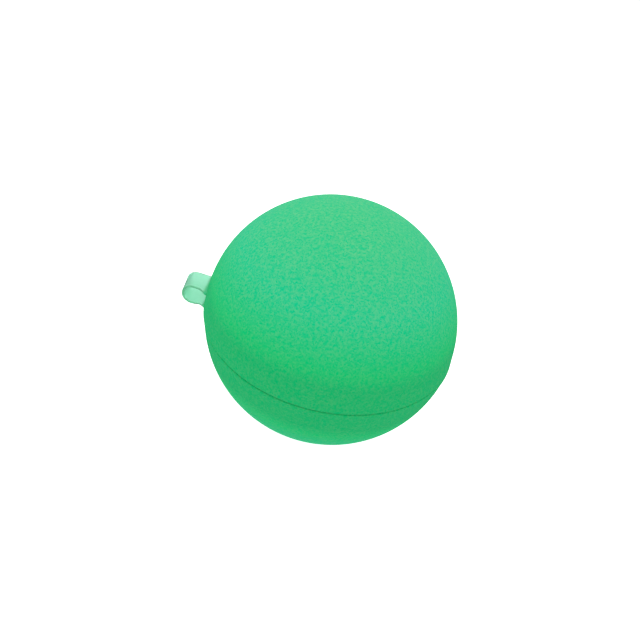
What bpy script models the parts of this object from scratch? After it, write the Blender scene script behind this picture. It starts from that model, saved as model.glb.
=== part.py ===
"""A refillable water play ball, shut.

Two soft half shells meet at a seam round the ball's equator. Small disc magnets, sealed into pockets
in the thick rims, hold them shut, a tongue on the lower rim fits a groove in the upper rim, and a
flat strap folded outside the ball joins the halves like a hinge.

The origin is the ball's centre. +Z points to the middle of the upper half, and the strap is at -X.
Lengths are in metres. A depth is measured from the seam plane into a half, so it is -Z in the lower
half and +Z in the upper half.
"""

import math

import bmesh
import bpy
from mathutils import Matrix, Vector

# Overall sizes
RIM_RADIUS = 0.0300  # outside of a half at the seam, without the bead
HALF_HEIGHT = 0.02945  # seam plane to the middle of a half's dome
WALL = 0.0020  # thickness of the dome

# Rim, the thick ring round the mouth of each half. Its width is what it holds and the walls between.
OUTER_WALL = 0.0011  # outside of the rim to a magnet pocket
LAND = 0.0006  # magnet pocket to the groove
LIP = 0.0009  # groove to the mouth
RIM_DEPTH = 0.0078  # seam plane to the rim's inner shoulder, at the mouth
SHOULDER_DROP = 0.0010  # how much deeper the shoulder is where it meets the dome
SHOULDER_ROUND = 0.0008
MOUTH_ROUND = 0.0006
SEAM_ROUND = 0.0005
BEAD_PROUD = 0.0002  # the slight swelling of the rim at the seam
BEAD_HEIGHT = 0.0012

# Seal
TONGUE_WIDTH = 0.0012
TONGUE_HEIGHT = 0.0014
TONGUE_ROUND = 0.0003

# Magnets and the plugs that seal them in
MAGNET_COUNT = 6
MAGNET_DIAMETER = 0.0040
MAGNET_THICKNESS = 0.0020
MAGNET_EDGE = 0.00015
PLUG_THICKNESS = 0.0008

# Hinge strap
STRAP_WIDTH = 0.0060
STRAP_THICKNESS = 0.0005
STRAP_EDGE = 0.0001
STRAP_SPREAD = 0.00195  # seam plane to the middle of a strap end
STRAP_TAB = 0.0026  # length of a strap end inside the rim
BEND_RADIUS = 0.0024  # middle of the strap's thickness
BEND_REACH = 0.0040  # outside of the rim to the centre of the bend
HINGE_REACH = 0.0069  # outside of the rim to the line that the upper half swings about

# Clearances
SEAM_GAP = 0.0003  # between the two rim faces
FIT_GAP = 0.0003  # round a piece that sits in a pocket, slot or groove

# Fineness
TURNS = 48  # flats round a shell
DOME_STEPS = 13
CORNER_STEPS = 2
DISC_SIDES = 20
BEND_STEPS = 14

FACE_DEPTH = SEAM_GAP / 2
POCKET_RADIUS = MAGNET_DIAMETER / 2 + FIT_GAP
GROOVE_WIDTH = TONGUE_WIDTH + 2 * FIT_GAP
MAGNET_CIRCLE = RIM_RADIUS - OUTER_WALL - POCKET_RADIUS
TONGUE_RADIUS = MAGNET_CIRCLE - POCKET_RADIUS - LAND - GROOVE_WIDTH / 2
MOUTH_RADIUS = TONGUE_RADIUS - GROOVE_WIDTH / 2 - LIP
MAGNET_TOP = FACE_DEPTH + PLUG_THICKNESS + FIT_GAP
POCKET_DEPTH = MAGNET_TOP + MAGNET_THICKNESS + FIT_GAP
BEND_CENTRE = -(RIM_RADIUS + BEND_REACH)
HINGE_LINE = Vector((-(RIM_RADIUS + HINGE_REACH), 0.0, 0.0))

LOWER = -1
UPPER = 1


def clear_scene():
    for obj in list(bpy.data.objects):
        bpy.data.objects.remove(obj, do_unlink=True)


def new_collection(name):
    collection = bpy.data.collections.new(name)
    bpy.context.scene.collection.children.link(collection)
    return collection


def new_material(name, colour, roughness, metallic=0.0):
    material = bpy.data.materials.new(name)
    material.use_nodes = True
    shader = material.node_tree.nodes["Principled BSDF"]
    shader.inputs["Base Color"].default_value = (*colour, 1.0)
    shader.inputs["Roughness"].default_value = roughness
    shader.inputs["Metallic"].default_value = metallic
    return material


def new_object(name, mesh, collection):
    obj = bpy.data.objects.new(name, mesh)
    collection.objects.link(obj)
    return obj


def arc(centre, radius, start, end, steps):
    """Points on a circle in the (radius, depth) plane; the angles are degrees from outwards to deeper."""
    points = []
    for step in range(steps + 1):
        angle = math.radians(start + (end - start) * step / steps)
        points.append((centre[0] + radius * math.cos(angle), centre[1] + radius * math.sin(angle)))
    return points


def dome(radius, centre_depth, end_depth):
    """Points from a dome's pole, on the axis, down to the ring at end_depth."""
    ring_angle = math.degrees(math.asin((end_depth - centre_depth) / radius))
    points = arc((0.0, centre_depth), radius, 90.0, ring_angle, DOME_STEPS)
    return [(0.0, centre_depth + radius)] + points[1:]


def tongue_outline():
    """The ridge on the lower rim's face, from outside to inside. It stands past the seam plane."""
    half = TONGUE_WIDTH / 2 - TONGUE_ROUND
    top = FACE_DEPTH - TONGUE_HEIGHT + TONGUE_ROUND
    outer = arc((TONGUE_RADIUS + half, top), TONGUE_ROUND, 0.0, -90.0, CORNER_STEPS)
    inner = arc((TONGUE_RADIUS - half, top), TONGUE_ROUND, -90.0, -180.0, CORNER_STEPS)
    foot = TONGUE_WIDTH / 2
    return [(TONGUE_RADIUS + foot, FACE_DEPTH), *outer, *inner, (TONGUE_RADIUS - foot, FACE_DEPTH)]


def groove_outline():
    """The channel in the upper rim's face that clears the tongue, from outside to inside."""
    half = GROOVE_WIDTH / 2
    floor = TONGUE_HEIGHT - FACE_DEPTH + FIT_GAP
    inset = half - TONGUE_ROUND
    outer = arc((TONGUE_RADIUS + inset, floor - TONGUE_ROUND), TONGUE_ROUND, 0.0, 90.0, CORNER_STEPS)
    inner = arc((TONGUE_RADIUS - inset, floor - TONGUE_ROUND), TONGUE_ROUND, 90.0, 180.0, CORNER_STEPS)
    return [(TONGUE_RADIUS + half, FACE_DEPTH), *outer, *inner, (TONGUE_RADIUS - half, FACE_DEPTH)]


def half_outline(seal):
    """A half's section as (radius, depth) points, from its outer pole round the rim to its inner pole."""
    cap_radius = (RIM_RADIUS**2 + HALF_HEIGHT**2) / (2 * HALF_HEIGHT)
    cap_centre = HALF_HEIGHT - cap_radius
    bead_radius = RIM_RADIUS + BEAD_PROUD
    seam_edge = (bead_radius - SEAM_ROUND, FACE_DEPTH + SEAM_ROUND)
    mouth_edge = (MOUTH_RADIUS + MOUTH_ROUND, FACE_DEPTH + MOUTH_ROUND)
    shoulder_edge = (MOUTH_RADIUS + SHOULDER_ROUND, RIM_DEPTH - SHOULDER_ROUND)
    return [
        *dome(cap_radius, cap_centre, BEAD_HEIGHT),
        *arc(seam_edge, SEAM_ROUND, 0.0, -90.0, CORNER_STEPS),
        *seal,
        *arc(mouth_edge, MOUTH_ROUND, -90.0, -180.0, CORNER_STEPS),
        *arc(shoulder_edge, SHOULDER_ROUND, 180.0, 90.0, CORNER_STEPS),
        *reversed(dome(cap_radius - WALL, cap_centre, RIM_DEPTH + SHOULDER_DROP)),
    ]


def turned_half(name, side, seal, collection):
    """A half shell: its section turned about Z."""
    section = [(radius, 0.0, side * depth) for radius, depth in half_outline(seal)]
    if side == LOWER:
        section.reverse()
    mesh = bpy.data.meshes.new(name)
    mesh.from_pydata(section, [(i, i + 1) for i in range(len(section) - 1)], [])
    shell = new_object(name, mesh, collection)
    screw = shell.modifiers.new("Turn", "SCREW")
    screw.steps = TURNS
    screw.render_steps = TURNS
    screw.use_smooth_shade = True
    screw.use_merge_vertices = True
    screw.merge_threshold = 0.00001
    return shell


def cylinder_mesh(name, radius, height):
    """A disc centred on its own origin."""
    builder = bmesh.new()
    bmesh.ops.create_cone(
        builder, cap_ends=True, segments=DISC_SIDES, radius1=radius, radius2=radius, depth=height
    )
    mesh = bpy.data.meshes.new(name)
    builder.to_mesh(mesh)
    builder.free()
    mesh.shade_smooth()
    mesh.set_sharp_from_angle(angle=math.radians(40))
    return mesh


def magnet_places():
    """(number, x, y) of each magnet in a half. The strap lies midway between two of them."""
    places = []
    for number in range(MAGNET_COUNT):
        angle = math.pi + 2 * math.pi * (number + 0.5) / MAGNET_COUNT
        places.append((number + 1, MAGNET_CIRCLE * math.cos(angle), MAGNET_CIRCLE * math.sin(angle)))
    return places


def as_cutter(obj):
    obj.hide_render = True
    obj.display_type = "WIRE"


def pocket_cutters(side, collection):
    """Cylinders that cut the magnet pockets. They start outside the rim face."""
    height = POCKET_DEPTH + TONGUE_HEIGHT
    mesh = cylinder_mesh("pocket_cutter", POCKET_RADIUS, height)
    for number, x, y in magnet_places():
        cutter = new_object(f"pocket_cutter_{number}", mesh, collection)
        cutter.location = (x, y, side * (POCKET_DEPTH - height / 2))
        as_cutter(cutter)


def slot_cutter(side, collection):
    """A box that cuts the slot for a strap end. It starts outside the rim."""
    start = -(RIM_RADIUS + STRAP_TAB)
    end = -(RIM_RADIUS - STRAP_TAB - FIT_GAP)
    size = (end - start, STRAP_WIDTH + 2 * FIT_GAP, STRAP_THICKNESS + 2 * FIT_GAP)
    builder = bmesh.new()
    bmesh.ops.create_cube(builder, size=1.0, matrix=Matrix.Diagonal((*size, 1.0)))
    mesh = bpy.data.meshes.new("slot_cutter")
    builder.to_mesh(mesh)
    builder.free()
    cutter = new_object("slot_cutter", mesh, collection)
    cutter.location = ((start + end) / 2, 0.0, side * STRAP_SPREAD)
    as_cutter(cutter)


def cut(obj, cutters):
    boolean = obj.modifiers.new("Cut", "BOOLEAN")
    boolean.operation = "DIFFERENCE"
    boolean.solver = "EXACT"
    boolean.operand_type = "COLLECTION"
    boolean.collection = cutters


def strap_line():
    """The middle of the strap's thickness as (x, z) points, from the lower end to the upper end.

    Each end is level inside its rim. Outside, it runs straight to where it touches the bend.
    """
    rim = Vector((-RIM_RADIUS, STRAP_SPREAD))
    from_centre = rim - Vector((BEND_CENTRE, 0.0))
    touch = math.atan2(from_centre.y, from_centre.x) + math.acos(BEND_RADIUS / from_centre.length)
    bend = []
    for step in range(BEND_STEPS + 1):
        angle = touch + (2 * math.pi - 2 * touch) * step / BEND_STEPS
        bend.append((BEND_CENTRE + BEND_RADIUS * math.cos(angle), BEND_RADIUS * math.sin(angle)))
    upper_half = [(-RIM_RADIUS + STRAP_TAB, STRAP_SPREAD), (-RIM_RADIUS, STRAP_SPREAD)]
    lower_half = [(x, -z) for x, z in reversed(upper_half)]
    return [*reversed(lower_half), *reversed(bend), *reversed(upper_half)]


def make_strap(collection):
    """The strap: its middle line drawn out to its width, given a thickness and rounded edges."""
    builder = bmesh.new()
    points = [builder.verts.new((x, -STRAP_WIDTH / 2, z)) for x, z in strap_line()]
    edges = [builder.edges.new(pair) for pair in zip(points, points[1:])]
    drawn = bmesh.ops.extrude_edge_only(builder, edges=edges)["geom"]
    moved = [item for item in drawn if isinstance(item, bmesh.types.BMVert)]
    bmesh.ops.translate(builder, vec=(0.0, STRAP_WIDTH, 0.0), verts=moved)
    mesh = bpy.data.meshes.new("hinge_strap")
    builder.to_mesh(mesh)
    builder.free()
    mesh.shade_smooth()
    strap = new_object("hinge_strap", mesh, collection)
    wall = strap.modifiers.new("Thickness", "SOLIDIFY")
    wall.thickness = STRAP_THICKNESS
    wall.offset = 0.0
    wall.use_even_offset = True
    edge = strap.modifiers.new("Edges", "BEVEL")
    edge.width = STRAP_EDGE
    edge.segments = 1
    edge.limit_method = "ANGLE"
    edge.angle_limit = math.radians(60)
    return strap


def hang_on(obj, hinge):
    """Parents a piece of the upper half to the hinge, leaving it where it is in the world."""
    obj.parent = hinge
    obj.location = obj.location - HINGE_LINE


def make_discs(half, side, magnet_mesh, plug_mesh, parts):
    """The magnets of one half and the plugs that close their pockets."""
    discs = []
    for number, x, y in magnet_places():
        magnet = new_object(f"{half}_magnet_{number}", magnet_mesh, parts)
        magnet.location = (x, y, side * (MAGNET_TOP + MAGNET_THICKNESS / 2))
        edge = magnet.modifiers.new("Edge", "BEVEL")
        edge.width = MAGNET_EDGE
        edge.segments = 1
        plug = new_object(f"{half}_magnet_plug_{number}", plug_mesh, parts)
        plug.location = (x, y, side * (FACE_DEPTH + PLUG_THICKNESS / 2))
        discs += [magnet, plug]
    return discs


def main():
    clear_scene()
    parts = new_collection("water_play_ball")
    materials = {
        "shell": new_material("green_silicone", (0.026, 0.604, 0.262), 0.55),
        "strap": new_material("mint_silicone", (0.287, 0.787, 0.577), 0.50),
        "magnet": new_material("nickel_plate", (0.62, 0.60, 0.57), 0.28, 1.0),
        "plug": new_material("plug_silicone", (0.045, 0.500, 0.240), 0.50),
    }

    hinge = bpy.data.objects.new("hinge_line", None)
    hinge.location = HINGE_LINE
    parts.objects.link(hinge)

    magnet_mesh = cylinder_mesh("magnet", MAGNET_DIAMETER / 2, MAGNET_THICKNESS)
    magnet_mesh.materials.append(materials["magnet"])
    plug_mesh = cylinder_mesh("plug", MAGNET_DIAMETER / 2, PLUG_THICKNESS)
    plug_mesh.materials.append(materials["plug"])

    for half, side, seal in (("lower", LOWER, tongue_outline()), ("upper", UPPER, groove_outline())):
        cutters = new_collection(f"{half}_cutters")
        pocket_cutters(side, cutters)
        slot_cutter(side, cutters)
        shell = turned_half(f"{half}_shell", side, seal, parts)
        shell.data.materials.append(materials["shell"])
        cut(shell, cutters)
        pieces = [shell, *make_discs(half, side, magnet_mesh, plug_mesh, parts)]
        if side == UPPER:
            for piece in pieces:
                hang_on(piece, hinge)

    strap = make_strap(parts)
    strap.data.materials.append(materials["strap"])


main()
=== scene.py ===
"""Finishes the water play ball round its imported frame.

The frame says where each piece is and how the upper half swings. This script makes the fine shapes
and their finishes: two moulded half shells, the magnets sealed into their rims, and the strap that
joins them. Lengths are in metres. A depth is measured from the seam plane into a half.
"""

import logging
import math
from abc import ABC, abstractmethod
from collections.abc import Mapping, Sequence
from dataclasses import dataclass
from enum import Enum
from typing import Any

import bmesh
import bpy
from mathutils import Matrix, Vector


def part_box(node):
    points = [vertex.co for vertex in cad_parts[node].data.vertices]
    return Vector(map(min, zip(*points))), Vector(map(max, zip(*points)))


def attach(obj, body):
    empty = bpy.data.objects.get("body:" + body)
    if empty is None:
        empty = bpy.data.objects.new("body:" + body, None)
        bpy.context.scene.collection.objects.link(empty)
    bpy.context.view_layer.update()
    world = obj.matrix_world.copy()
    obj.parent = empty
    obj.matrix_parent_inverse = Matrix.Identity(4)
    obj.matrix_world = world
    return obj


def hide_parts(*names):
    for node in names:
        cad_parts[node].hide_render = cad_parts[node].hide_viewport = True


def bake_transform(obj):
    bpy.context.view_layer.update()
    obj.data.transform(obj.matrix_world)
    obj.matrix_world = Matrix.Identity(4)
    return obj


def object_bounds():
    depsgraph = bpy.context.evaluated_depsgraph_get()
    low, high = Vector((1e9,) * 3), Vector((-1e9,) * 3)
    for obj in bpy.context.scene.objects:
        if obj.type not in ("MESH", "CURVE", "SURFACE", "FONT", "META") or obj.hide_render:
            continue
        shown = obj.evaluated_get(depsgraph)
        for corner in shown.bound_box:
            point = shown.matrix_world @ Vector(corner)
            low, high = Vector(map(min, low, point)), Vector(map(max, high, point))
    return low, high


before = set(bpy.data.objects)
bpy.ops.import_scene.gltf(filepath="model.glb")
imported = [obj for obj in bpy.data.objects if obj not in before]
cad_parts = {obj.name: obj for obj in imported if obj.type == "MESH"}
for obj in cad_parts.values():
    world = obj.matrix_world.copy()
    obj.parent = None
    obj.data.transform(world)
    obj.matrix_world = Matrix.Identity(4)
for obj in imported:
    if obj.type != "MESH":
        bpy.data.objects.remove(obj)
CAD_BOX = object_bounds()

LOG = logging.getLogger("water_play_ball")
MM = 0.001
SMOOTH_ANGLE = math.radians(35)  # an edge sharper than this stays sharp
MERGE = 0.001 * MM  # points closer than this are one
SILICONE_IOR = 1.41


class Half(Enum):
    """One half of the ball, with the side of the seam plane that it is on."""

    LOWER = -1
    UPPER = 1

    @property
    def word(self) -> str:
        """The half's name, which is also its body's name."""
        return self.name.lower()


# Small helpers for materials and meshes


def linear(colour: str) -> tuple[float, float, float, float]:
    """Turns an sRGB hex colour to linear light.

    Args:
        colour: the colour as "#rrggbb".

    Returns:
        Red, green, blue and an alpha of 1.
    """
    shares = [int(colour[i : i + 2], 16) / 255 for i in (1, 3, 5)]
    red, green, blue = (s / 12.92 if s <= 0.04045 else ((s + 0.055) / 1.055) ** 2.4 for s in shares)
    return red, green, blue, 1.0


def per_mm(size: float) -> float:
    """The texture scale, per metre, that gives features about size millimetres across."""
    return 1.0 / (size * MM)


def add(
    tree: bpy.types.NodeTree,
    kind: str,
    inputs: Mapping[str | int, Any] | None = None,
    **settings: Any,
) -> bpy.types.Node:
    """Adds a node with its settings and links.

    Args:
        tree: the node tree.
        kind: the node's type.
        inputs: for each input's name or number, a value or the output socket to link to it.
        settings: the node's own settings.

    Returns:
        The new node.
    """
    made = tree.nodes.new(kind)
    for name, value in settings.items():
        setattr(made, name, value)
    for key, value in (inputs or {}).items():
        if isinstance(value, bpy.types.NodeSocket):
            tree.links.new(value, made.inputs[key])
        else:
            made.inputs[key].default_value = value
    return made


def ramp(node: bpy.types.Node, stops: Sequence[tuple[float, Any]]) -> bpy.types.Node:
    """Sets a colour ramp's stops.

    Args:
        node: the colour ramp.
        stops: (place, colour) pairs from low to high; a number makes a grey.

    Returns:
        The same node.
    """
    elements = node.color_ramp.elements
    while len(elements) < len(stops):
        elements.new(1.0)
    for element, (place, colour) in zip(elements, stops):
        element.position = place
        element.color = (colour, colour, colour, 1.0) if isinstance(colour, float) else colour
    return node


def settle(obj: bpy.types.Object) -> bpy.types.Object:
    """Makes an object's evaluated mesh its own, so that no modifier is left on it.

    Args:
        obj: a mesh object with live modifiers.

    Returns:
        The same object.
    """
    graph = bpy.context.evaluated_depsgraph_get()
    mesh = bpy.data.meshes.new_from_object(
        obj.evaluated_get(graph), preserve_all_data_layers=True, depsgraph=graph
    )
    rough = obj.data
    obj.modifiers.clear()
    obj.data = mesh
    bpy.data.meshes.remove(rough)
    mesh.name = obj.name
    return obj


def new_object(name: str, builder: bmesh.types.BMesh) -> bpy.types.Object:
    """Makes an object of a built mesh and frees the builder.

    Args:
        name: the object's name.
        builder: the mesh, in its place.

    Returns:
        The object, at the origin.
    """
    mesh = bpy.data.meshes.new(name)
    builder.to_mesh(mesh)
    builder.free()
    obj = bpy.data.objects.new(name, mesh)
    bpy.context.scene.collection.objects.link(obj)
    return obj


def shade(obj: bpy.types.Object) -> None:
    """Shades a piece smooth, with its real edges sharp."""
    obj.data.shade_smooth()
    obj.data.set_sharp_from_angle(angle=SMOOTH_ANGLE)


# Finishes


class Finish(ABC):
    """A surface finish. Each has one material, which its pieces share."""

    name: str

    def material(self) -> bpy.types.Material:
        """The finish's material, made the first time it is asked for."""
        found = bpy.data.materials.get(self.name)
        if found is None:
            found = bpy.data.materials.new(self.name)
            found.use_nodes = True
            self.paint(found.node_tree, found.node_tree.nodes["Principled BSDF"])
        return found

    @abstractmethod
    def paint(self, tree: bpy.types.NodeTree, shader: bpy.types.Node) -> None:
        """Builds the finish.

        Args:
            tree: the material's node tree.
            shader: its Principled BSDF.
        """

    @staticmethod
    def constants(shader: bpy.types.Node, values: Mapping[str, Any]) -> None:
        """Sets whole-surface values on the shader's own sockets."""
        for socket, value in values.items():
            shader.inputs[socket].default_value = value


@dataclass(frozen=True)
class ShellSilicone(Finish):
    """Silicone rubber, pigmented in the mass and pressed in a mould with a spark-eroded, matt cavity.

    The eye gets an even, soft green with no sharp highlight. The grain breaks the surface into a fine
    mottle: specks where the bare, deep colour shows and a paler bloom between them. The wall thins from
    the solid rim to the dome, so the thick rim is a deeper green. Past the rim the wall is even, and the
    paling towards the middle of the dome is painted light from overhead. The core of the mould is
    smoother, so the inside of a half has a slight gloss.
    """

    name: str = "moulded_green_silicone"
    # Where the grain scatters light, then in the specks, from the rim to the middle of the dome. Past the
    # rim they grow paler: painted light from overhead, as the wall there is even.
    bloom: tuple[str, ...] = ("#3cb36d", "#40c074", "#58c78e", "#65ca8b")
    bare: tuple[str, ...] = ("#00b068", "#00bd6e", "#00c48a", "#24c686")
    places: tuple[float, ...] = (0.20, 0.31, 0.64, 1.0)  # of those colours, as shares of the depth
    depth: float = 29.45 * MM
    # Sizes in millimetres. The real grain is near 0.1 and is drawn coarser, to show
    grain_size: float = 0.60
    speck_size: float = 0.36
    cloud_size: float = 9.0
    # The noise values between which the bloom grows from one share to another
    grain_stops: tuple[tuple[float, float], ...] = ((0.30, 0.0), (0.62, 1.0))
    speck_stops: tuple[tuple[float, float], ...] = ((0.36, 0.0), (0.44, 1.0))
    cloud_stops: tuple[tuple[float, float], ...] = ((0.2, 0.8), (0.8, 1.0))
    inner_radius: float = 29.1 * MM  # all of the inside is nearer the ball's centre than this
    inner_roughness: float = 0.42
    outer_roughness: float = 0.62
    unevenness: float = 0.08
    relief: float = 0.03 * MM

    def paint(self, tree: bpy.types.NodeTree, shader: bpy.types.Node) -> None:
        """Builds the mottle, the deeper rim, the painted light that pales the dome towards its middle, the
        smoother inside and the grain's relief.

        Args:
            tree: the material's node tree.
            shader: its Principled BSDF.
        """
        place = add(tree, "ShaderNodeTexCoord").outputs["Object"]
        grain = add(
            tree, "ShaderNodeTexNoise",
            {"Vector": place, "Scale": per_mm(self.grain_size), "Detail": 3.0, "Roughness": 0.6},
        ).outputs[0]
        specks = add(
            tree, "ShaderNodeTexNoise",
            {"Vector": place, "Scale": per_mm(self.speck_size), "Detail": 1.5, "Roughness": 0.5},
        ).outputs[0]
        clouds = add(
            tree, "ShaderNodeTexNoise",
            {"Vector": place, "Scale": per_mm(self.cloud_size), "Detail": 2.0, "Roughness": 0.5},
        ).outputs[0]
        soft = ramp(add(tree, "ShaderNodeValToRGB", {0: grain}), self.grain_stops)
        sparse = ramp(add(tree, "ShaderNodeValToRGB", {0: specks}), self.speck_stops)
        wide = ramp(add(tree, "ShaderNodeValToRGB", {0: clouds}), self.cloud_stops)
        mottle = add(
            tree, "ShaderNodeMath", {0: soft.outputs[0], 1: sparse.outputs[0]}, operation="MULTIPLY"
        )
        share = add(
            tree, "ShaderNodeMath", {0: mottle.outputs[0], 1: wide.outputs[0]}, operation="MULTIPLY"
        ).outputs[0]

        height = add(tree, "ShaderNodeSeparateXYZ", {0: place}).outputs["Z"]
        above = add(tree, "ShaderNodeMath", {0: height}, operation="ABSOLUTE").outputs[0]
        deep = add(tree, "ShaderNodeMath", {0: above, 1: self.depth}, operation="DIVIDE").outputs[0]
        # deeper at the thick rim; the paling towards the middle of the dome is painted light from overhead
        pale, strong = (
            ramp(
                add(tree, "ShaderNodeValToRGB", {0: deep}),
                [(at, linear(colour)) for at, colour in zip(self.places, colours)],
            ).outputs[0]
            for colours in (self.bloom, self.bare)
        )
        colour = add(
            tree, "ShaderNodeMix", {0: share, 6: strong, 7: pale}, data_type="RGBA"
        ).outputs[2]
        tree.links.new(colour, shader.inputs["Base Color"])

        reach = add(tree, "ShaderNodeVectorMath", {0: place}, operation="LENGTH").outputs["Value"]
        outside = add(
            tree, "ShaderNodeMath", {0: reach, 1: self.inner_radius}, operation="GREATER_THAN"
        ).outputs[0]
        matt = add(
            tree, "ShaderNodeMapRange",
            {"Value": outside, "To Min": self.inner_roughness, "To Max": self.outer_roughness},
        ).outputs[0]
        uneven = add(
            tree, "ShaderNodeMapRange",
            {"Value": grain, "To Min": -self.unevenness, "To Max": self.unevenness},
        ).outputs[0]
        roughness = add(tree, "ShaderNodeMath", {0: matt, 1: uneven}, operation="ADD").outputs[0]
        tree.links.new(roughness, shader.inputs["Roughness"])

        relief = add(
            tree, "ShaderNodeBump", {"Strength": 0.5, "Distance": self.relief, "Height": specks}
        ).outputs[0]
        tree.links.new(relief, shader.inputs["Normal"])
        self.constants(
            shader,
            {
                "IOR": SILICONE_IOR,
                "Specular IOR Level": 0.02,
                "Subsurface Weight": 0.25,
                "Subsurface Radius": (0.35, 1.0, 0.6),
                "Subsurface Scale": 1.2 * MM,
            },
        )


@dataclass(frozen=True)
class StrapSilicone(Finish):
    """Unpigmented silicone rubber with a trace of green, pressed as a thin flat strip.

    The faces let light through and look like pale mint glass with a satin surface. The deeper green of
    the edges is painted light, standing in for light that travels sideways inside the strip and comes out
    there; the bright line just inside them is a painted highlight. At its ends the strip runs into the
    pigmented rubber and takes on its colour.
    """

    name: str = "clear_mint_silicone"
    face: str = "#a8ecd1"
    line: str = "#c8f8e6"  # a painted highlight just inside an edge
    # painted light: the deeper green of light coming out of the strip's edge
    edge: str = "#8ee1b8"
    depths: str = "#74e2ae"  # what a thick stretch of it lets through
    density: float = 280.0
    root: str = "#3fc488"
    haze_size: float = 1.6
    clear: float = 0.63  # how much of the light passes through the free loop
    # The root's colour comes in between these, as shares of the length from the middle
    end_share: float = 0.315
    root_share: float = 0.365
    # Where the face ends, the painted highlight starts and ends, and the edge's painted deeper green
    # starts, as shares of the width from the middle
    across: tuple[float, float, float, float] = (0.405, 0.430, 0.442, 0.458)
    haze: tuple[float, float] = (0.94, 1.04)
    roughness: tuple[float, float] = (0.32, 0.46)

    def paint(self, tree: bpy.types.NodeTree, shader: bpy.types.Node) -> None:
        """Builds the edges' painted light across the strip (a deeper green and a highlight just inside), a
        faint cloudiness and a satin roughness.

        Args:
            tree: the material's node tree.
            shader: its Principled BSDF.
        """
        unrolled = add(tree, "ShaderNodeUVMap").outputs[0]
        middle = (0.5, 0.5, 0.0)
        offset = add(
            tree, "ShaderNodeVectorMath", {0: unrolled, 1: middle}, operation="SUBTRACT"
        ).outputs[0]
        away = add(tree, "ShaderNodeVectorMath", {0: offset}, operation="ABSOLUTE").outputs[0]
        parts = add(tree, "ShaderNodeSeparateXYZ", {0: away})
        free = add(
            tree, "ShaderNodeMapRange",
            {
                "Value": parts.outputs["X"],
                "From Min": self.end_share,
                "From Max": self.root_share,
                "To Min": 1.0,
                "To Max": 0.0,
            },
            interpolation_type="SMOOTHSTEP",
        ).outputs[0]
        # the face, a painted highlight just inside each edge, and the edge's painted deeper green
        colours = (self.face, self.line, self.line, self.edge)
        bands_with_painted_edge_light = ramp(
            add(tree, "ShaderNodeValToRGB", {0: parts.outputs["Y"]}),
            [
                (0.0, linear(self.face)),
                *((at, linear(colour)) for at, colour in zip(self.across, colours)),
            ],
        )
        place = add(tree, "ShaderNodeTexCoord").outputs["Object"]
        haze = add(
            tree, "ShaderNodeTexNoise", {"Vector": place, "Scale": per_mm(self.haze_size), "Detail": 2.0}
        ).outputs[0]
        cloud = add(
            tree, "ShaderNodeMapRange",
            {"Value": haze, "To Min": self.haze[0], "To Max": self.haze[1]},
        ).outputs[0]
        strip = add(
            tree, "ShaderNodeVectorMath", {0: bands_with_painted_edge_light.outputs[0], "Scale": cloud}, operation="SCALE"
        ).outputs[0]
        colour = add(
            tree, "ShaderNodeMix", {0: free, 6: linear(self.root), 7: strip}, data_type="RGBA"
        ).outputs[2]
        tree.links.new(colour, shader.inputs["Base Color"])
        passing = add(
            tree, "ShaderNodeMath", {0: free, 1: self.clear}, operation="MULTIPLY"
        ).outputs[0]
        tree.links.new(passing, shader.inputs["Transmission Weight"])
        satin = add(
            tree, "ShaderNodeMapRange",
            {"Value": haze, "To Min": self.roughness[0], "To Max": self.roughness[1]},
        ).outputs[0]
        tree.links.new(satin, shader.inputs["Roughness"])
        self.constants(
            shader,
            {
                "IOR": SILICONE_IOR,
                "Subsurface Weight": 0.6,
                "Subsurface Radius": (0.7, 1.0, 0.9),
                "Subsurface Scale": 1.5 * MM,
            },
        )
        tint = add(
            tree, "ShaderNodeVolumeAbsorption",
            {"Color": linear(self.depths), "Density": self.density},
        )
        tree.links.new(tint.outputs[0], tree.nodes["Material Output"].inputs["Volume"])


@dataclass(frozen=True)
class PlugSilicone(Finish):
    """Silicone rubber poured over a magnet and left to level, so it is glossier than the moulded rim.

    The skin over the metal is thin, so the magnet behind it shows as a darker disc.
    """

    name: str = "poured_green_silicone"
    deep: str = "#1f9f68"
    pale: str = "#3ec488"
    deep_share: float = 0.70  # of the radius, where the magnet's disc starts to fade
    pale_share: float = 0.92
    cloud_size: float = 1.2
    wander: float = 0.12  # how unevenly it fades
    roughness: tuple[float, float] = (0.26, 0.36)

    def paint(self, tree: bpy.types.NodeTree, shader: bpy.types.Node) -> None:
        """Builds the disc that shows through, a faint cloudiness and the gloss.

        Args:
            tree: the material's node tree.
            shader: its Principled BSDF.
        """
        spread = add(tree, "ShaderNodeAttribute", attribute_name="spread").outputs["Fac"]
        place = add(tree, "ShaderNodeTexCoord").outputs["Object"]
        cloud = add(
            tree, "ShaderNodeTexNoise", {"Vector": place, "Scale": per_mm(self.cloud_size), "Detail": 3.0}
        ).outputs[0]
        shift = add(
            tree, "ShaderNodeMapRange",
            {"Value": cloud, "To Min": -self.wander, "To Max": self.wander},
        ).outputs[0]
        share = add(tree, "ShaderNodeMath", {0: spread, 1: shift}, operation="ADD").outputs[0]
        colour = ramp(
            add(tree, "ShaderNodeValToRGB", {0: share}),
            [(self.deep_share, linear(self.deep)), (self.pale_share, linear(self.pale))],
        )
        tree.links.new(colour.outputs[0], shader.inputs["Base Color"])
        gloss = add(
            tree, "ShaderNodeMapRange",
            {"Value": cloud, "To Min": self.roughness[0], "To Max": self.roughness[1]},
        ).outputs[0]
        tree.links.new(gloss, shader.inputs["Roughness"])
        self.constants(
            shader,
            {"IOR": SILICONE_IOR, "Subsurface Weight": 0.2, "Subsurface Scale": 0.5 * MM},
        )


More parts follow.
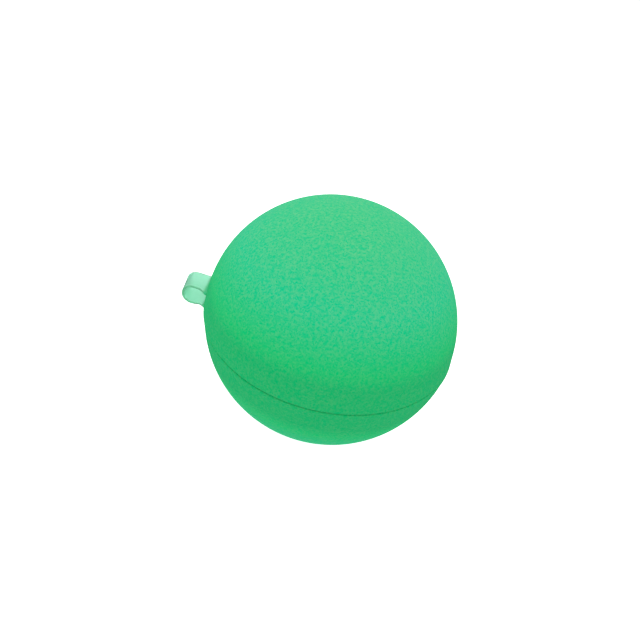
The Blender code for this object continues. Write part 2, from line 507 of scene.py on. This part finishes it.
@dataclass(frozen=True)
class NickelPlate(Finish):
    """Nickel plated on a sintered magnet in a barrel, which leaves it bright with fine rub marks."""

    name: str = "barrel_plated_nickel"
    plate: str = "#cfc9bd"
    rubbed: str = "#b4aea2"
    mark_size: float = 0.5
    rubbed_below: float = 0.35  # the noise values between which the colour changes
    plate_above: float = 0.60
    drawn_out: tuple[float, float, float] = (1.0, 6.0, 1.0)  # makes long marks of the noise
    roughness: tuple[float, float] = (0.20, 0.38)
    relief: float = 0.005 * MM

    def paint(self, tree: bpy.types.NodeTree, shader: bpy.types.Node) -> None:
        """Builds the rub marks in colour, roughness and relief.

        Args:
            tree: the material's node tree.
            shader: its Principled BSDF.
        """
        place = add(tree, "ShaderNodeTexCoord").outputs["Object"]
        drawn = add(
            tree, "ShaderNodeMapping", {"Vector": place, "Scale": self.drawn_out}
        ).outputs[0]
        marks = add(
            tree, "ShaderNodeTexNoise",
            {"Vector": drawn, "Scale": per_mm(self.mark_size), "Detail": 4.0, "Roughness": 0.7},
        ).outputs[0]
        colour = ramp(
            add(tree, "ShaderNodeValToRGB", {0: marks}),
            [(self.rubbed_below, linear(self.rubbed)), (self.plate_above, linear(self.plate))],
        )
        tree.links.new(colour.outputs[0], shader.inputs["Base Color"])
        rough = add(
            tree, "ShaderNodeMapRange",
            {"Value": marks, "To Min": self.roughness[0], "To Max": self.roughness[1]},
        ).outputs[0]
        tree.links.new(rough, shader.inputs["Roughness"])
        relief = add(
            tree, "ShaderNodeBump", {"Strength": 0.2, "Distance": self.relief, "Height": marks}
        ).outputs[0]
        tree.links.new(relief, shader.inputs["Normal"])
        self.constants(shader, {"Metallic": 1.0})


def hand_in(
    obj: bpy.types.Object, finish: Finish, nodes: Sequence[str], body: str | None
) -> None:
    """Dresses a piece, says what it stands for, and puts it on its body.

    Args:
        obj: the piece, in its place.
        finish: its surface.
        nodes: the CAD nodes that it stands for.
        body: the body that it rides on, or None to put it on no body.
    """
    obj.data.materials.clear()
    obj.data.materials.append(finish.material())
    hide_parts(*nodes)
    if body is not None:
        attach(obj, body)
    faces = len(obj.data.polygons)
    LOG.info("%s: %d faces, %s, stands for %s", obj.name, faces, finish.name, ", ".join(nodes))


# Sub-assemblies


@dataclass
class MagnetSet:
    """The disc magnets of one half, and the poured plugs that seal them into the rim."""

    half: Half
    count: int = 6
    sides: int = 48
    magnet_edge: float = 0.15 * MM
    pocket_gap: float = 0.30 * MM  # round and behind a magnet
    plug_gap: float = 0.04 * MM
    plug_edge: float = 0.12 * MM
    plug_dish: float = 0.10 * MM  # the poured rubber sinks a little in the middle
    dish_steps: int = 3
    dish_step: float = 0.22  # each step's width, as a share of the plug's radius
    edge_steps: int = 3

    def __post_init__(self) -> None:
        """Reads the places and sizes of the discs from the frame."""
        self.magnets = [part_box(f"{self.half.word}_magnet_{n}") for n in self.numbers]
        self.plugs = [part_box(f"{self.half.word}_magnet_plug_{n}") for n in self.numbers]

    @property
    def numbers(self) -> range:
        """The magnets' numbers."""
        return range(1, self.count + 1)

    def disc(self, box: tuple[Vector, Vector], gap: float = 0.0) -> bmesh.types.BMesh:
        """A plain disc.

        Args:
            box: the lowest and highest corner of the CAD disc.
            gap: how much wider than it the disc is, all round.

        Returns:
            The disc, in its place.
        """
        low, high = box
        radius = (high.y - low.y) / 2 + gap
        builder = bmesh.new()
        bmesh.ops.create_cone(
            builder, cap_ends=True, segments=self.sides, radius1=radius, radius2=radius,
            depth=high.z - low.z, matrix=Matrix.Translation((low + high) / 2),
        )
        return builder

    def round_off(self, builder: bmesh.types.BMesh, width: float) -> None:
        """Rounds the disc's two rims.

        Args:
            builder: the disc.
            width: the rounding's size.
        """
        rims = [e for e in builder.edges if e.calc_face_angle() > SMOOTH_ANGLE]
        bmesh.ops.bevel(
            builder, geom=rims, offset=width, segments=self.edge_steps, profile=0.5,
            affect="EDGES", material=-1,
        )

    def pocket_cutters(self) -> list[bpy.types.Object]:
        """Discs that cut the pockets. Each starts outside the rim's face and ends behind its magnet."""
        cutters = []
        for magnet, plug in zip(self.magnets, self.plugs):
            faces = sorted(abs(corner.z) for corner in (*magnet, *plug))
            behind = self.half.value * (faces[-1] + self.pocket_gap)
            before = -self.half.value * faces[0]
            low = Vector((magnet[0].x, magnet[0].y, min(behind, before)))
            high = Vector((magnet[1].x, magnet[1].y, max(behind, before)))
            cutters.append(new_object("pocket_cutter", self.disc((low, high), self.pocket_gap)))
        return cutters

    def build_magnet(self, number: int) -> None:
        """Makes one magnet, with its edge rounded as it comes from the barrel."""
        builder = self.disc(self.magnets[number - 1])
        self.round_off(builder, self.magnet_edge)
        piece = new_object(f"{self.half.word}_disc_magnet_{number}", builder)
        shade(piece)
        node = f"{self.half.word}_magnet_{number}"
        hand_in(piece, NickelPlate(), [node], self.half.word)

    def build_plug(self, number: int) -> None:
        """Makes one plug, a disc that fills the pocket's mouth, rounded at its rim and dished."""
        box = self.plugs[number - 1]
        centre = (box[0] + box[1]) / 2
        gap = self.pocket_gap - self.plug_gap
        radius = (box[1].y - box[0].y) / 2 + gap
        builder = self.disc(box, gap)
        self.round_off(builder, self.plug_edge)
        seen = min(builder.faces, key=lambda face: self.half.value * face.calc_center_median().z)
        sink = self.half.value * self.plug_dish / self.dish_steps
        for _ in range(self.dish_steps):
            bmesh.ops.inset_region(builder, faces=[seen], thickness=self.dish_step * radius)
            bmesh.ops.translate(builder, verts=seen.verts, vec=(0.0, 0.0, sink))
        piece = new_object(f"{self.half.word}_pocket_plug_{number}", builder)
        spread = piece.data.attributes.new("spread", "FLOAT", "POINT")
        for vertex, value in zip(piece.data.vertices, spread.data):
            value.value = (vertex.co - centre).xy.length / radius
        shade(piece)
        node = f"{self.half.word}_magnet_plug_{number}"
        hand_in(piece, PlugSilicone(), [node], self.half.word)

    def build(self) -> None:
        """Makes every magnet and plug of the half."""
        for number in self.numbers:
            self.build_magnet(number)
            self.build_plug(number)


@dataclass
class HingeStrap:
    """The flat strap that joins the halves, folded into a loop outside the ball.

    Each end is moulded into its rim, where the strap is wider and thicker than along the loop.
    """

    rim_radius: float = 30.00 * MM
    width: float = 6.0 * MM
    thickness: float = 0.5 * MM
    edge: float = 0.14 * MM
    spread: float = 1.95 * MM  # seam plane to the middle of an end
    tab: float = 2.6 * MM  # length of an end inside its rim
    bend_radius: float = 2.4 * MM
    bend_reach: float = 3.7 * MM  # rim to the middle of the bend, half way across
    skew: float = 0.3 * MM  # how much further the strap's far edge reaches than its middle
    front_flare: float = 1.0 * MM  # extra width at a root
    back_flare: float = 0.1 * MM
    flare_reach: float = 2.8 * MM
    root_thickness: float = 0.85 * MM
    root_reach: float = 1.1 * MM
    softness: float = 0.5 * MM  # how far a change of direction is spread along the strap
    still: float = 0.5 * MM  # length next to a rim that doesn't bend as the ball opens
    seat_clearance: float = 0.03 * MM
    bend_steps: int = 60
    steps_along: int = 150
    steps_across: int = 18
    edge_steps: int = 3

    def line(self) -> list[Vector]:
        """The strap's middle line with its corners, as (x, z) points from lower end to upper end."""
        centre = Vector((-self.rim_radius - self.bend_reach, 0.0))
        root = Vector((-self.rim_radius, self.spread))
        away = root - centre
        touch = math.atan2(away.y, away.x) + math.acos(self.bend_radius / away.length)
        bend = []
        for step in range(self.bend_steps + 1):
            angle = touch + 2 * (math.pi - touch) * step / self.bend_steps
            bend.append(centre + self.bend_radius * Vector((math.cos(angle), math.sin(angle))))
        upper = [root + Vector((self.tab, 0.0)), root]
        lower = [Vector((point.x, -point.y)) for point in reversed(upper)]
        return [*reversed(lower), *reversed(bend), *reversed(upper)]

    def build_sheet(self, name: str, clearance: float = 0.0) -> bpy.types.Object:
        """Makes the strap's solid.

        Args:
            name: the object's name.
            clearance: how much larger it is all round, for a cutter.

        Returns:
            The object, with its UV map running along and across the strap.
        """
        line = self.line()
        stations = [0.0]
        for before, after in zip(line, line[1:]):
            stations.append(stations[-1] + (after - before).length)
        length = stations[-1]

        def at(distance: float) -> Vector:
            """The middle line's point at a distance from the lower end."""
            distance = min(max(distance, 0.0), length)
            index = max(i for i, station in enumerate(stations[:-1]) if station <= distance)
            share = (distance - stations[index]) / (stations[index + 1] - stations[index])
            return line[index].lerp(line[index + 1], share)

        def eased(value: float) -> float:
            """A smooth step from 0 to 1."""
            value = min(max(value, 0.0), 1.0)
            return value * value * (3 - 2 * value)

        builder = bmesh.new()
        builder.loops.layers.uv.new("UVMap")
        bmesh.ops.create_grid(
            builder, x_segments=self.steps_along, y_segments=self.steps_across, size=0.5,
            calc_uvs=True,
        )
        root_weights = {}
        distances = []
        for index, vertex in enumerate(builder.verts):
            along = (vertex.co.x + 0.5) * length
            points = [at(along + share * self.softness) for share in (-1.0, -0.5, 0.0, 0.5, 1.0)]
            middle = sum(points, Vector((0.0, 0.0))) / len(points)
            from_root = min(along, length - along) - self.tab
            flare = self.front_flare if vertex.co.y < 0 else self.back_flare
            wide = self.width + 2 * clearance
            wide += 2 * flare * eased(1 - from_root / self.flare_reach) ** 2
            root_weights[index] = eased(1 - from_root / self.root_reach) ** 2
            out = eased(from_root / self.bend_reach)
            lean = 2 * self.skew * vertex.co.y * out
            vertex.co = (middle.x - lean, vertex.co.y * wide, middle.y)
            distances.append(along)
        strap = new_object(name, builder)
        places = strap.data.attributes.new("along", "FLOAT", "POINT")
        places.data.foreach_set("value", distances)
        group = strap.vertex_groups.new(name="root")
        for index, weight in root_weights.items():
            group.add([index], weight, "REPLACE")
        wall = strap.modifiers.new("Thickness", "SOLIDIFY")
        wall.thickness = self.root_thickness + 2 * clearance
        wall.offset = 0.0
        wall.use_even_offset = True
        wall.vertex_group = group.name
        wall.thickness_vertex_group = (self.thickness + 2 * clearance) / wall.thickness
        edges = strap.modifiers.new("Edges", "BEVEL")
        edges.width = self.edge
        edges.segments = self.edge_steps
        edges.limit_method = "ANGLE"
        edges.angle_limit = math.radians(60)
        return settle(strap)

    def seat_cutter(self) -> bpy.types.Object:
        """The strap itself, a hair larger, which cuts its seat in a rim."""
        return self.build_sheet("seat_cutter", self.seat_clearance)

    def join_halves(self, strap: bpy.types.Object) -> None:
        """Bakes the strap's transform into its points while they are laid out along a line.

        Each point is put at its distance along the strap and, after the bake, folded back to where it was.

        Args:
            strap: the finished strap.
        """
        folded = [vertex.co.copy() for vertex in strap.data.vertices]
        distances = [item.value for item in strap.data.attributes["along"].data]
        for vertex, distance in zip(strap.data.vertices, distances):
            vertex.co = (distance, 0.0, 0.0)
        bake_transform(strap)
        for vertex, place in zip(strap.data.vertices, folded):
            vertex.co = place

    def build(self) -> None:
        """Makes the strap, folded into a loop between the halves."""
        strap = self.build_sheet("folded_strap")
        shade(strap)
        hand_in(strap, StrapSilicone(), ["hinge_strap"], None)
        self.join_halves(strap)


@dataclass(frozen=True)
class Corner:
    """A corner of a turned section."""

    radius: float
    depth: float
    rounding: float


@dataclass
class HalfShell:
    """One soft half: a thin dome with a thick rim, its seal, and the seats for magnets and strap."""

    half: Half
    rim_radius: float = 30.00 * MM
    half_height: float = 29.45 * MM
    wall: float = 2.00 * MM
    face_depth: float = 0.03 * MM
    bead_proud: float = 0.09 * MM
    bead_height: float = 1.70 * MM
    seam_round: float = 0.42 * MM
    tongue_radius: float = 22.80 * MM
    tongue_width: float = 1.20 * MM
    tongue_height: float = 1.40 * MM
    seal_gap: float = 0.30 * MM
    seal_round: float = 0.30 * MM
    mouth_radius: float = 21.00 * MM
    mouth_round: float = 0.60 * MM
    shoulder_depth: float = 7.80 * MM
    shoulder_round: float = 0.80 * MM
    shoulder_drop: float = 1.00 * MM
    misfit: float = 0.10 * MM  # the strap pulls the soft halves this far off centre, opposite ways
    misfit_turn: float = 35.0  # the way it pulls, in degrees from -X towards -Y
    gape: float = 0.24 * MM  # how far the strap's spring lifts each lip off the seam, next to it
    gape_power: float = 1.8  # how fast that fades round the ball
    gape_depth: float = 2.0 * MM  # and how deep into the rim it reaches, from the lip
    turns: int = 192
    dome_steps: int = 72
    round_steps: int = 5

    @property
    def cap_radius(self) -> float:
        """The radius of the dome's sphere."""
        return (self.rim_radius**2 + self.half_height**2) / (2 * self.half_height)

    @property
    def cap_depth(self) -> float:
        """The depth of that sphere's centre, which is just past the seam plane."""
        return self.half_height - self.cap_radius

    def seal(self) -> list[Corner]:
        """The tongue of the lower half or the groove of the upper half, from outside to inside."""
        foot = self.tongue_width / 2
        end = self.face_depth - self.tongue_height
        if self.half is Half.UPPER:
            foot += self.seal_gap
            end = self.tongue_height - self.face_depth + self.seal_gap
        outer, inner = self.tongue_radius + foot, self.tongue_radius - foot
        small = self.seal_round / 2
        return [
            Corner(outer, self.face_depth, small),
            Corner(outer, end, self.seal_round),
            Corner(inner, end, self.seal_round),
            Corner(inner, self.face_depth, small),
        ]

    def swing_dome(
        self, builder: bmesh.types.BMesh, radius: float, end_depth: float
    ) -> bmesh.types.BMVert:
        """Draws a dome's curve by swinging its pole about the sphere's centre.

        Args:
            builder: the section.
            radius: the dome's radius.
            end_depth: where the curve ends.

        Returns:
            The curve's last point.
        """
        side = self.half.value
        pole = builder.verts.new((0.0, 0.0, side * (self.cap_depth + radius)))
        angle = math.pi / 2 - math.asin((end_depth - self.cap_depth) / radius)
        drawn = bmesh.ops.spin(
            builder, geom=[pole], cent=(0.0, 0.0, side * self.cap_depth), axis=(0.0, 1.0, 0.0),
            angle=side * angle, steps=self.dome_steps, use_merge=False,
        )
        return next(item for item in drawn["geom_last"] if isinstance(item, bmesh.types.BMVert))

    def section(self) -> bmesh.types.BMesh:
        """Draws the half's section in the XZ plane, from its outer pole round the rim to its inner pole."""
        builder = bmesh.new()
        outer = self.swing_dome(builder, self.cap_radius, self.bead_height)
        inner_end = self.shoulder_depth + self.shoulder_drop
        inner = self.swing_dome(builder, self.cap_radius - self.wall, inner_end)
        bead_radius = self.rim_radius + self.bead_proud
        corners = [
            Corner(bead_radius, self.face_depth + self.seam_round * 1.5, self.seam_round / 2),
            Corner(bead_radius, self.face_depth, self.seam_round),
            *self.seal(),
            Corner(self.mouth_radius, self.face_depth, self.mouth_round),
            Corner(self.mouth_radius, self.shoulder_depth, self.shoulder_round),
        ]
        last = outer
        rounded = []
        for corner in corners:
            point = builder.verts.new((corner.radius, 0.0, self.half.value * corner.depth))
            builder.edges.new((last, point))
            rounded.append((point, corner.rounding))
            last = point
        builder.edges.new((last, inner))
        for point, rounding in rounded:
            bmesh.ops.bevel(
                builder, geom=[point], offset=rounding, segments=self.round_steps, profile=0.5,
                affect="VERTICES", material=-1,
            )
        return builder

    def part_lips(self, builder: bmesh.types.BMesh) -> None:
        """Draws the lip back from the seam on the strap's side, most next to the strap.

        Args:
            builder: the turned half.
        """
        for vertex in builder.verts:
            near = (1 - vertex.co.x / self.rim_radius) / 2
            outward = 1 - (self.rim_radius - vertex.co.xy.length) / self.gape_depth
            shallow = 1 - (self.half.value * vertex.co.z - self.face_depth) / self.gape_depth
            at_lip = min(max(outward, 0.0), 1.0) * min(max(shallow, 0.0), 1.0)
            share = max(near, 0.0) ** self.gape_power * at_lip
            vertex.co.z += self.half.value * self.gape * share

    def build(self, cutters: Sequence[bpy.types.Object]) -> None:
        """Turns the section into the half, cuts its seats, dresses it and puts it on its body.

        Args:
            cutters: solids to cut from it, which are then removed.
        """
        builder = self.section()
        bmesh.ops.spin(
            builder, geom=[*builder.verts, *builder.edges], cent=(0.0, 0.0, 0.0), axis=(0.0, 0.0, 1.0),
            angle=2 * math.pi, steps=self.turns, use_merge=True,
        )
        bmesh.ops.remove_doubles(builder, verts=builder.verts, dist=MERGE)
        bmesh.ops.recalc_face_normals(builder, faces=builder.faces)
        turn = math.radians(self.misfit_turn)
        shift = -self.half.value * self.misfit
        bmesh.ops.translate(
            builder, verts=builder.verts, vec=(shift * math.cos(turn), shift * math.sin(turn), 0.0)
        )
        self.part_lips(builder)
        shell = new_object(f"{self.half.word}_half_shell", builder)
        for cutter in cutters:
            cut = shell.modifiers.new("Seat", "BOOLEAN")
            cut.operation = "DIFFERENCE"
            cut.solver = "EXACT"
            cut.object = cutter
        settle(shell)
        for cutter in cutters:
            bpy.data.objects.remove(cutter)
        shade(shell)
        hand_in(shell, ShellSilicone(), [f"{self.half.word}_shell"], self.half.word)


@dataclass
class Studio:
    """A white sweep under soft, even light from overhead, and the camera."""

    distance: float = 127.5 * MM  # camera to the ball's centre
    azimuth: float = -1.4  # degrees from -Y towards +X
    elevation: float = 37.7
    lean: float = 14.0  # how far the camera is rolled, in degrees
    aside: float = 2.59 * MM  # how far beside the ball's centre the camera aims
    below: float = 0.165 * MM  # and how far under it
    lens: float = 29.60
    floor_radius: float = 3.0
    floor_gap: float = 0.05 * MM
    softbox_size: float = 0.5
    softbox_place: tuple[float, float, float] = (-0.185, -0.283, 0.494)
    softbox_power: float = 0.44
    # The surroundings' brightness from straight down (0) to straight up (1)
    brightest: float = 2.4
    lighting: tuple[tuple[float, float], ...] = ((0.0, 0.95), (0.5, 0.965), (1.0, 0.98))
    reflected: tuple[tuple[float, float], ...] = (
        (0.30, 0.02), (0.45, 0.1), (0.55, 0.3), (0.8, 1.2), (1.0, 2.4)
    )

    def add_camera(self) -> None:
        """Sets the camera at its distance, aimed beside the ball's centre and rolled."""
        azimuth, elevation, lean = (math.radians(a) for a in (self.azimuth, self.elevation, self.lean))
        level = math.cos(elevation)
        back = Vector((math.sin(azimuth) * level, -math.cos(azimuth) * level, math.sin(elevation)))
        upright = back.to_track_quat("Z", "Y")
        turned = upright.to_matrix() @ Matrix.Rotation(lean, 3, "Z")
        right = turned.col[0]
        place = self.distance * back
        towards = (place + self.aside * right + self.below * turned.col[1]).normalized()
        data = bpy.data.cameras.new("camera")
        data.lens = self.lens
        data.clip_start = 1 * MM
        camera = bpy.data.objects.new("camera", data)
        camera.matrix_world = Matrix.Translation(place) @ turned.to_4x4()
        swing = back.rotation_difference(towards)
        camera.rotation_mode = "QUATERNION"
        camera.rotation_quaternion = swing @ turned.to_quaternion()
        bpy.context.scene.collection.objects.link(camera)
        bpy.context.scene.camera = camera

    def add_floor(self) -> None:
        """A wide white floor just under the ball. It glows a little, as a lit sweep does."""
        material = bpy.data.materials.new("white_sweep")
        material.use_nodes = True
        shader = material.node_tree.nodes["Principled BSDF"]
        Finish.constants(
            shader,
            {
                "Base Color": (0.9, 0.9, 0.9, 1.0),
                "Roughness": 0.9,
                "Specular IOR Level": 0.0,
                "Emission Color": (1.0, 1.0, 1.0, 1.0),
                "Emission Strength": 0.8,
            },
        )
        builder = bmesh.new()
        bmesh.ops.create_circle(
            builder, cap_ends=True, segments=96, radius=self.floor_radius,
            matrix=Matrix.Translation((0.0, 0.0, CAD_BOX[0].z - self.floor_gap)),
        )
        floor = new_object("floor", builder)
        floor.data.materials.append(material)
        floor.visible_diffuse = False
        floor.visible_glossy = False
        floor.visible_shadow = False

    def add_softbox(self) -> None:
        """A square softbox in front of the ball and above it, turned to face it."""
        data = bpy.data.lights.new("softbox", "AREA")
        data.shape = "SQUARE"
        data.size = self.softbox_size
        data.energy = self.softbox_power
        softbox = bpy.data.objects.new("softbox", data)
        softbox.location = self.softbox_place
        softbox.rotation_euler = Vector(self.softbox_place).to_track_quat("Z", "Y").to_euler()
        bpy.context.scene.collection.objects.link(softbox)

    def add_surroundings(self) -> None:
        """White all round for the eye, even for the light, and dim below for the reflections."""
        world = bpy.data.worlds.new("surroundings")
        bpy.context.scene.world = world
        world.use_nodes = True
        tree = world.node_tree
        tree.nodes.clear()
        path = add(tree, "ShaderNodeLightPath")
        direction = add(tree, "ShaderNodeTexCoord").outputs["Generated"]
        height = add(tree, "ShaderNodeSeparateXYZ", {0: direction}).outputs["Z"]
        level = add(
            tree, "ShaderNodeMapRange", {"Value": height, "From Min": -1.0, "From Max": 1.0}
        ).outputs[0]
        for_light, for_gloss = (
            add(
                tree, "ShaderNodeBackground",
                {
                    "Color": ramp(
                        add(tree, "ShaderNodeValToRGB", {0: level}),
                        [(at, brightness / self.brightest) for at, brightness in stops],
                    ).outputs[0],
                    "Strength": self.brightest,
                },
            )
            for stops in (self.lighting, self.reflected)
        )
        for_eye = add(
            tree, "ShaderNodeBackground", {"Color": (1.0, 1.0, 1.0, 1.0), "Strength": 1.0}
        )
        unseen = add(
            tree, "ShaderNodeMixShader",
            {0: path.outputs["Is Glossy Ray"], 1: for_light.outputs[0], 2: for_gloss.outputs[0]},
        )
        both = add(
            tree, "ShaderNodeMixShader",
            {0: path.outputs["Is Camera Ray"], 1: unseen.outputs[0], 2: for_eye.outputs[0]},
        )
        add(tree, "ShaderNodeOutputWorld", {"Surface": both.outputs[0]})

    def build(self) -> None:
        """Sets up the stage. Colours are shown as they are, with no film look."""
        bpy.context.scene.view_settings.view_transform = "Standard"
        self.add_camera()
        self.add_floor()
        self.add_softbox()
        self.add_surroundings()
        LOG.info("studio: camera %.1f mm from the ball's centre", self.distance / MM)


def main() -> None:
    """Builds the stage, then the ball, sub-assembly by sub-assembly."""
    logging.basicConfig(level=logging.INFO, format="%(name)s: %(message)s")
    Studio().build()
    strap = HingeStrap()
    for half in Half:
        magnets = MagnetSet(half)
        HalfShell(half).build([*magnets.pocket_cutters(), strap.seat_cutter()])
        magnets.build()
    strap.build()


if __name__ == "__main__":
    main()
